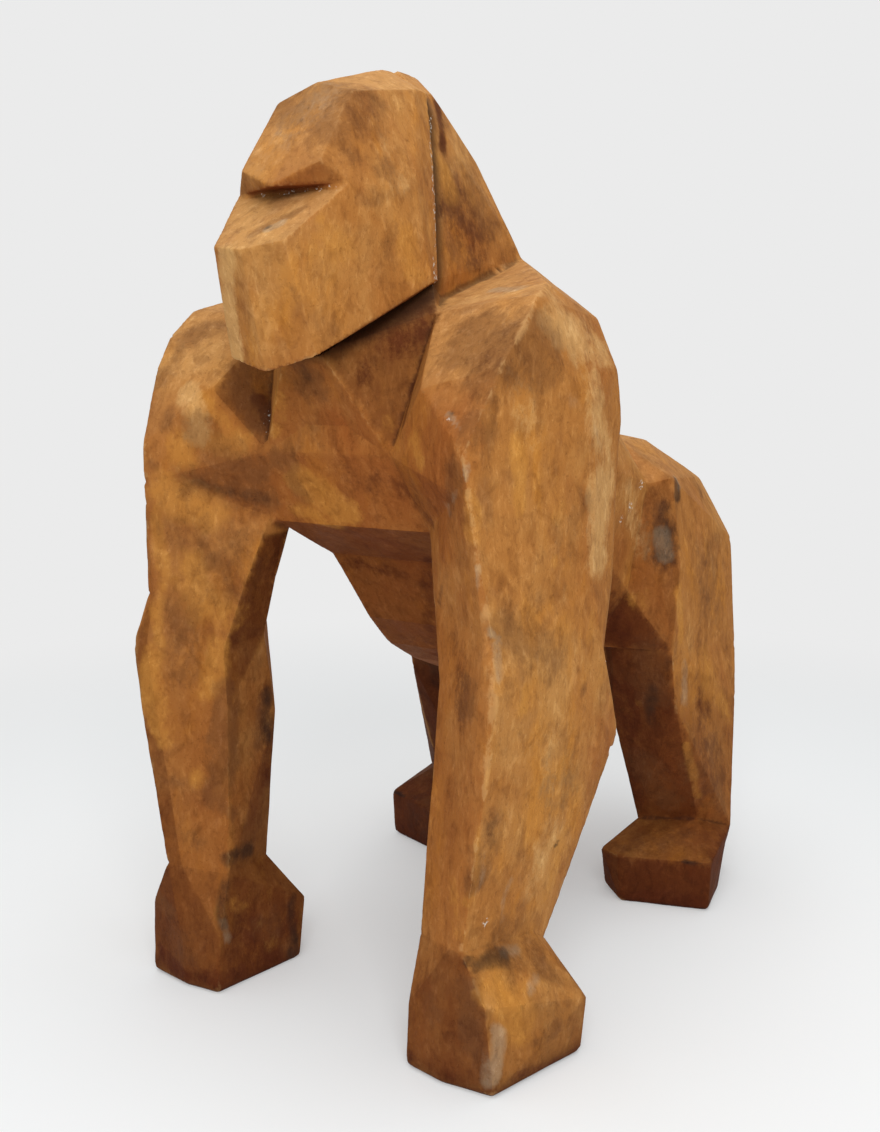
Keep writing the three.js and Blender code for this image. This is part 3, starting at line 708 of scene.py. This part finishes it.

# %% [markdown]
# ## Rust-effect paint
# The figure was primed, sponged and dry-brushed with several earth colours, one over another, and sealed
# matt. One noise texture would look like marble, so each coat is a layer of its own: a warm ground, soft
# patches of red oxide, ochre and umber, tones by the way each facet faces that are partly painted light and
# shade, the facets darkened as painted shade, the placed stains that break up at their edges like dabs of a
# dry brush, thin brush hairs that run up and down the limbs, and sponge specks. Wear on the ridges and
# painted shade in the creases come last.

# %% Two helpers for materials


def linear(hex_text):
    """An sRGB hex colour as the linear colour that a shader takes."""
    shares = [int(hex_text[i:i + 2], 16) / 255 for i in (1, 3, 5)]
    return [s / 12.92 if s <= 0.04045 else ((s + 0.055) / 1.055) ** 2.4 for s in shares] + [1]


def add(tree, kind, inputs, **settings):
    """Adds one node: its settings, and for each input either a fixed value or a link."""
    node = tree.nodes.new(kind)
    for key, value in settings.items():
        setattr(node, key, value)
    for key, value in inputs.items():
        if isinstance(value, bpy.types.NodeSocket):
            tree.links.new(value, node.inputs[key])
        else:
            node.inputs[key].default_value = value
    return node


FACTOR, COLOUR_A, COLOUR_B, COLOUR_OUT = 0, 6, 7, 2
METRE = 1000
print("hex #808080 is", round(linear("#808080")[0], 3), "in linear light")

# %% Lay on the coats
# A matt, chalky paint: soft-edged patches a hand wide, hairs of the brush, and a fine sponged grain.
GROUND = "#AA6F35"
# name: colour, patch width in mm, stretch along Z, where it starts and is full, strength
COATS = {
    "dusty ochre": ("#C08C4E", 90, 0.8, 0.44, 0.66, 0.60),
    "red oxide": ("#8E4C20", 70, 0.6, 0.48, 0.68, 0.56),
    "orange ochre": ("#C07C2B", 38, 0.5, 0.50, 0.72, 0.60),
    "umber": ("#714326", 26, 0.5, 0.50, 0.74, 0.52),
}
COAT_GRAIN = {"Detail": 6, "Roughness": 0.62, "Distortion": 0.3}

rust = bpy.data.materials.new("rust_effect_paint")
rust.use_nodes = True
tree = rust.node_tree
tree.nodes.clear()
place = add(tree, "ShaderNodeTexCoord", {}).outputs["Object"]


def patches(shift, width, stretch, grain):
    """A pattern of patches of a width in mm, stretched along Z, and shifted so that no two are alike."""
    moved = add(tree, "ShaderNodeMapping", {"Vector": place, "Location": shift, "Scale": (1, 1, stretch)})
    return add(tree, "ShaderNodeTexNoise", {"Vector": moved.outputs["Vector"], "Scale": METRE / width,
                                            **grain}).outputs["Fac"]


def layered(paint, colour, follows, start, full, strength, blend="MIX"):
    """The paint with one more colour on it, as far as a value has risen from its start to full."""
    share = add(tree, "ShaderNodeMapRange", {"Value": follows, "From Min": start, "From Max": full,
                                             "To Max": strength}, interpolation_type="SMOOTHSTEP")
    return add(tree, "ShaderNodeMix", {FACTOR: share.outputs["Result"], COLOUR_A: paint, COLOUR_B: colour},
               data_type="RGBA", blend_type=blend).outputs[COLOUR_OUT]


paint = linear(GROUND)
patterns = {}
for seed, (name, (colour, width, stretch, *rise)) in enumerate(COATS.items()):
    patterns[name] = patches((seed, -seed, 2 * seed), width, stretch, COAT_GRAIN)
    paint = layered(paint, linear(colour), patterns[name], *rise)
print("coats:", ", ".join(patterns))

# %% Tone the facets by the way they face, with painted light and shade
# Dust and painted light from above lie on what faces up, most of all high on the figure. Below the neck,
# what faces forwards is redder and darker: red paint, and painted shade. What faces down gets painted shade,
# and the lowest part a painted contact shadow.
LIGHT_AND_DUST_RISE = {"From Min": 0.1, "From Max": 0.42}
RED_AND_SHADE_RISE = {"From Min": 0.46, "From Max": 0.38, "To Max": -1}
facing = add(tree, "ShaderNodeSeparateXYZ", {0: add(tree, "ShaderNodeTexCoord", {}).outputs["Normal"]})
spot = add(tree, "ShaderNodeSeparateXYZ", {0: place})
high = add(tree, "ShaderNodeMapRange", {"Value": spot.outputs["Z"], **LIGHT_AND_DUST_RISE})
upward = add(tree, "ShaderNodeMath", {0: facing.outputs["Z"], 1: high.outputs["Result"]},
             operation="MULTIPLY")
low = add(tree, "ShaderNodeMapRange", {"Value": spot.outputs["Z"], **RED_AND_SHADE_RISE})
fronts = add(tree, "ShaderNodeMath", {0: facing.outputs["Y"], 1: low.outputs["Result"]},
             operation="MULTIPLY")
# name: colour, what it follows, where it starts and is full, strength
TONES = {
    # Painted shade on what faces down.
    "shaded undersides": ("#74361A", facing.outputs["Z"], -0.05, -0.9, 0.65),
    # Red paint and painted shade on what faces forwards below the neck.
    "red and shaded fronts": ("#8A451A", fronts.outputs["Value"], 0.30, 0.95, 0.40),
    # Dust and painted light from above on what faces up.
    "dusty and lit tops": ("#C69A62", upward.outputs["Value"], 0.2, 0.9, 0.40),
    # A painted contact shadow on the lowest 16 millimetres.
    "shaded soles": ("#2E150B", spot.outputs["Z"], 0.016, 0, 0.65),
}
for colour, *rise in TONES.values():
    paint = layered(paint, linear(colour), *rise)
print("tones:", ", ".join(TONES))

# %% Paint shade on the listed facets
# The torn pattern makes the painted shade a little patchy, and later breaks up the edges of stains and wear.
SHADE_COLOUR = "#4C1F0B"
SHADE_STRENGTH = 0.92
SHADE_PATCHES = {"From Min": 0.3, "From Max": 0.7, "To Min": 0.8, "To Max": 1.1}
TEAR_WIDTH = 12
TEAR_STRETCH = 0.75
TEAR_GRAIN = {"Detail": 8, "Roughness": 0.74}
torn = patches((0, 0, 0), TEAR_WIDTH, TEAR_STRETCH, TEAR_GRAIN)
shade = add(tree, "ShaderNodeAttribute", {}, attribute_name="shade").outputs["Fac"]
patchy = add(tree, "ShaderNodeMapRange", {"Value": torn, **SHADE_PATCHES})
shaded = add(tree, "ShaderNodeMath", {0: shade, 1: patchy.outputs["Result"]}, operation="MULTIPLY")
paint = layered(paint, linear(SHADE_COLOUR), shaded.outputs["Value"], 0, 1, SHADE_STRENGTH)
print("shade:", SHADE_COLOUR)

# %% Add the placed stains
# name: colour, strength, how far its edge is torn
STAINS = {
    # The dark wash is painted shade with some dark wash in it, and some umber strokes are painted shade.
    "wash_and_shade": ("#50230F", 0.85, 0.8),
    "ochre": ("#C4863A", 0.48, 0.95),
    "dust": ("#D3A568", 0.60, 0.95),
    "umber": ("#674024", 0.52, 0.95),
    "grey": ("#A59276", 0.42, 0.6),
    "black": ("#261C17", 0.70, 0.5),
}
STAIN_EDGE = {"From Min": 0.25, "From Max": 0.9}
STAIN_CORE = 0.35
tear = add(tree, "ShaderNodeMapRange", {"Value": torn, "To Min": -1, "To Max": 1})
for stain, (colour, strength, reach) in STAINS.items():
    weight = add(tree, "ShaderNodeAttribute", {}, attribute_name=stain).outputs["Fac"]
    uneven = add(tree, "ShaderNodeMath", {0: tear.outputs["Result"], 1: reach, 2: weight},
                 operation="MULTIPLY_ADD")
    edge = add(tree, "ShaderNodeMapRange", {"Value": uneven.outputs["Value"], **STAIN_EDGE},
               interpolation_type="SMOOTHSTEP")
    core = add(tree, "ShaderNodeMapRange", {"Value": weight, "From Max": STAIN_CORE, "To Max": strength})
    mask = add(tree, "ShaderNodeMath", {0: edge.outputs["Result"], 1: core.outputs["Result"]},
               operation="MULTIPLY")
    coat = add(tree, "ShaderNodeMix", {FACTOR: mask.outputs["Value"], COLOUR_A: paint,
                                       COLOUR_B: linear(colour)}, data_type="RGBA")
    paint = coat.outputs[COLOUR_OUT]
print("stains:", ", ".join(STAINS))

# %% Add the marks of the brush and the sponge
# name: tint, patch width in mm, stretch along Z, where it starts and is full, strength
MARKS = {
    "dark mottle": ((0.50, 0.42, 0.38), 10, 0.7, 0.47, 0.70, 0.48),
    "pale mottle": ((1.45, 1.65, 2.0), 8, 0.6, 0.50, 0.72, 0.46),
    "brush hairs": ((0.55, 0.48, 0.45), 4, 0.4, 0.50, 0.72, 0.34),
    "pale hairs": ((1.45, 1.70, 2.1), 3, 0.35, 0.53, 0.74, 0.40),
    "dark specks": ((0.40, 0.34, 0.30), 1.7, 1.0, 0.55, 0.74, 0.50),
    "pale specks": ((1.5, 1.8, 2.3), 1.4, 1.0, 0.60, 0.76, 0.50),
}
MARK_GRAIN = {"Detail": 5, "Roughness": 0.62, "Distortion": 0.6}
for seed, (name, (tint, width, stretch, *rise)) in enumerate(MARKS.items()):
    patterns[name] = patches((-seed, 2 * seed, seed), width, stretch, MARK_GRAIN)
    paint = layered(paint, (*tint, 1), patterns[name], *rise, blend="MULTIPLY")
print("marks:", ", ".join(MARKS))

# %% Add wear and painted shade
# The ridges are rubbed pale in a broken line, and less so on the facets with painted shade. The creases
# and the joint round the head get painted shade.
BROKEN = {"From Min": 0.38, "From Max": 0.58}
RUBBED_ON_SHADE = 0.3
ridge = add(tree, "ShaderNodeAttribute", {}, attribute_name="ridge").outputs["Fac"]
contact = add(tree, "ShaderNodeAttribute", {}, attribute_name="contact").outputs["Fac"]
broken = add(tree, "ShaderNodeMapRange", {"Value": torn, **BROKEN})
kept = add(tree, "ShaderNodeMapRange", {"Value": shade, "To Min": 1, "To Max": RUBBED_ON_SHADE})
rubbed = add(tree, "ShaderNodeMath", {0: ridge, 1: kept.outputs["Result"]}, operation="MULTIPLY")
worn = add(tree, "ShaderNodeMath", {0: rubbed.outputs["Value"], 1: broken.outputs["Result"]},
           operation="MULTIPLY")
# name: colour, what it follows, where it starts and is full, strength
WEAR = {
    "rubbed ridges": ("#D0A268", worn.outputs["Value"], 0.5, 1.7, 0.37),
    # Painted shade in the creases.
    "shaded creases": ("#33190E", ridge, -0.7, -2.2, 0.60),
    # Painted shade beside the joint between head and nape.
    "shaded joint": ("#2A180F", contact, 4.0, 1.2, 0.80),
}
for colour, *rise in WEAR.values():
    paint = layered(paint, linear(colour), *rise)
print("wear:", ", ".join(WEAR))

# %% Chip the paint
# Where the paint came off, the pale clay shows in specks.
CHIP_COLOUR = "#DAD4C8"
CHIP_WIDTH = 1.9
CHIP_DETAIL = 3
CHIP_EDGE = {"From Min": 0.48, "From Max": 0.56, "To Max": 0.8}
specks = add(tree, "ShaderNodeTexNoise", {"Vector": place, "Scale": METRE / CHIP_WIDTH,
                                          "Detail": CHIP_DETAIL})
chip_place = add(tree, "ShaderNodeAttribute", {}, attribute_name="chip").outputs["Fac"]
chipped = add(tree, "ShaderNodeMath", {0: specks.outputs["Fac"], 1: chip_place}, operation="MULTIPLY")
chips = add(tree, "ShaderNodeMapRange", {"Value": chipped.outputs["Value"], **CHIP_EDGE})
coat = add(tree, "ShaderNodeMix", {FACTOR: chips.outputs["Result"], COLOUR_A: paint,
                                   COLOUR_B: linear(CHIP_COLOUR)}, data_type="RGBA")
paint = coat.outputs[COLOUR_OUT]
print("chips:", CHIP_WIDTH, "mm wide")

# %% Roughness and grain of the paint
GRAIN_DEPTH = 0.45 * MM
GRAIN_STRENGTH = 0.6
LUMP_SHARE = 1.5
DULLNESS = {"From Min": 0.3, "From Max": 0.7, "To Min": 0.62, "To Max": 0.82}
PAINT_IOR = 1.45
MATT_SHINE = 0.08
grain = add(tree, "ShaderNodeMath", {0: patterns["dark specks"], 1: patterns["brush hairs"]},
            operation="ADD")
lumps = add(tree, "ShaderNodeMath", {0: torn, 1: LUMP_SHARE, 2: grain.outputs["Value"]},
            operation="MULTIPLY_ADD")
relief = add(tree, "ShaderNodeBump", {"Height": lumps.outputs["Value"], "Distance": GRAIN_DEPTH,
                                      "Strength": GRAIN_STRENGTH})
dull = add(tree, "ShaderNodeMapRange", {"Value": patterns["umber"], **DULLNESS})
shader = add(tree, "ShaderNodeBsdfPrincipled", {"Base Color": paint, "Roughness": dull.outputs["Result"],
                                                "Normal": relief.outputs["Normal"], "IOR": PAINT_IOR,
                                                "Specular IOR Level": MATT_SHINE})
add(tree, "ShaderNodeOutputMaterial", {"Surface": shader.outputs["BSDF"]})
print("rust-effect paint has", len(tree.nodes), "nodes")

# %% [markdown]
# ## Steel bar and bonding fibre
# Inside the figure are a welded armature of hot-rolled bar and bands of glass fibre that bond the seams.
# They are already right in the CAD model, so only their materials change. Bar from the mill has a dark
# blue-grey scale with some rust bloom. A bonding band shows its chopped strands under a dull resin.

# %% Make the two inner materials
# name: colour, bloom, width of its patches in mm, metallic, least and most roughness
INNER = {
    "hot_rolled_steel": ("#3F3D3C", "#6B4128", 14, 0.9, 0.45, 0.7),
    "glass_fibre_band": ("#CFC8B4", "#A9A08A", 3, 0.0, 0.55, 0.75),
}
BLOOM_EDGE = {"From Min": 0.45, "From Max": 0.7}
BLOOM_DETAIL = 5
BLOOM_RELIEF = 0.5
inner = {}
for name, (colour, bloom, width, metallic, smooth, rough) in INNER.items():
    inner[name] = bpy.data.materials.new(name)
    inner[name].use_nodes = True
    tree = inner[name].node_tree
    tree.nodes.clear()
    place = add(tree, "ShaderNodeTexCoord", {}).outputs["Object"]
    pattern = add(tree, "ShaderNodeTexNoise", {"Vector": place, "Scale": METRE / width,
                                               "Detail": BLOOM_DETAIL}).outputs["Fac"]
    share = add(tree, "ShaderNodeMapRange", {"Value": pattern, **BLOOM_EDGE},
                interpolation_type="SMOOTHSTEP").outputs["Result"]
    coat = add(tree, "ShaderNodeMix", {FACTOR: share, COLOUR_A: linear(colour), COLOUR_B: linear(bloom)},
               data_type="RGBA")
    dull = add(tree, "ShaderNodeMapRange", {"Value": pattern, "To Min": smooth, "To Max": rough})
    relief = add(tree, "ShaderNodeBump", {"Height": pattern, "Distance": GRAIN_DEPTH,
                                          "Strength": BLOOM_RELIEF})
    shader = add(tree, "ShaderNodeBsdfPrincipled", {
        "Base Color": coat.outputs[COLOUR_OUT], "Metallic": metallic, "Roughness": dull.outputs["Result"],
        "Normal": relief.outputs["Normal"]})
    add(tree, "ShaderNodeOutputMaterial", {"Surface": shader.outputs["BSDF"]})
print("inner materials:", ", ".join(inner))

# %% [markdown]
# ## Putting the assembly together
# Every painted piece now takes the place of its own CAD casting, so the assembly still comes apart where
# the real one was bonded. Nothing on the figure moves, so all of it rides on the one body, root.

# %% Dress the castings, the bars and the bands
for name, piece in castings.items():
    piece.data.materials.append(rust)
    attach(piece, "root")
    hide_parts(f"{name}_casting")
for name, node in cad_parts.items():
    if name.endswith("_rod"):
        node.material_slots[0].material = inner["hot_rolled_steel"]
    if name.endswith("_band"):
        node.material_slots[0].material = inner["glass_fibre_band"]
print("pieces:", ", ".join(sorted(piece.name for piece in castings.values())))

# %% [markdown]
# ## The studio
# The photograph was taken on a pale sweep under broad, soft light. A real softbox is a large bright panel,
# which an area lamp matches. The world gives the even light that white walls throw back, and the camera
# sees the same pale grey there as on the sweep. The strengths are set so that a colour renders about as it
# is written.

# %% Lay out the sweep
SWEEP_COLOUR = "#F6F9FA"
SWEEP_SIZE = 12
WALL_SEEN = "#EBEBEB"
GLOW_NEAR = 0.3
FADE_START = 0.5
FADE_END = 1.2
sweep_shape = bmesh.new()
bmesh.ops.create_grid(sweep_shape, x_segments=1, y_segments=1, size=SWEEP_SIZE)
sweep = finished(sweep_shape, "sweep")
sweep_paper = bpy.data.materials.new("matt_paper")
sweep_paper.use_nodes = True
tree = sweep_paper.node_tree
tree.nodes.clear()
place = add(tree, "ShaderNodeTexCoord", {}).outputs["Object"]
paper = add(tree, "ShaderNodeBsdfDiffuse", {"Color": linear(SWEEP_COLOUR)})
glow = add(tree, "ShaderNodeEmission", {"Color": linear(WALL_SEEN), "Strength": 1})
away = add(tree, "ShaderNodeVectorMath", {0: place}, operation="LENGTH")
far = add(tree, "ShaderNodeMapRange", {"Value": away.outputs["Value"], "From Min": FADE_START,
                                       "From Max": FADE_END, "To Min": GLOW_NEAR},
          interpolation_type="SMOOTHSTEP")
ray = add(tree, "ShaderNodeLightPath", {})
seen = add(tree, "ShaderNodeMath", {0: far.outputs["Result"], 1: ray.outputs["Is Camera Ray"]},
           operation="MULTIPLY")
surface = add(tree, "ShaderNodeMixShader", {0: seen.outputs["Value"], 1: paper.outputs[0],
                                            2: glow.outputs[0]})
add(tree, "ShaderNodeOutputMaterial", {"Surface": surface.outputs[0]})
sweep.data.materials.append(sweep_paper)
print("sweep:", 2 * SWEEP_SIZE, "m across")

# %% Hang the lamps and light the walls
WALL_LIGHT = 0.5
# name: place, size in metres, watts
LAMPS = {
    "key_softbox": ((0.82, -1.18, 1.15), 0.8, 13),
    "top_softbox": ((0.05, -0.1, 2.1), 1.4, 15.5),
}
for name, (spot, size, watts) in LAMPS.items():
    lamp_data = bpy.data.lights.new(name, "AREA")
    lamp_data.size = size
    lamp_data.energy = watts
    lamp = bpy.data.objects.new(name, lamp_data)
    lamp.location = spot
    lamp.rotation_euler = (FIGURE_MIDDLE - Vector(spot)).to_track_quat("-Z", "Y").to_euler()
    bpy.context.collection.objects.link(lamp)
world = bpy.data.worlds.new("studio_walls")
world.use_nodes = True
bpy.context.scene.world = world
tree = world.node_tree
tree.nodes.clear()
ray = add(tree, "ShaderNodeLightPath", {})
seen = add(tree, "ShaderNodeMath", {0: ray.outputs["Is Camera Ray"], 1: ray.outputs["Is Glossy Ray"]},
           operation="MAXIMUM")
seen = add(tree, "ShaderNodeMath", {0: seen.outputs["Value"], 1: ray.outputs["Is Transmission Ray"]},
           operation="MAXIMUM")
lit = add(tree, "ShaderNodeBackground", {"Color": (1, 1, 1, 1), "Strength": WALL_LIGHT})
shown = add(tree, "ShaderNodeBackground", {"Color": linear(WALL_SEEN), "Strength": 1})
walls = add(tree, "ShaderNodeMixShader", {0: seen.outputs["Value"], 1: lit.outputs[0], 2: shown.outputs[0]})
add(tree, "ShaderNodeOutputWorld", {"Surface": walls.outputs[0]})
bpy.context.scene.view_settings.view_transform = "Standard"
print("lamps:", ", ".join(LAMPS))
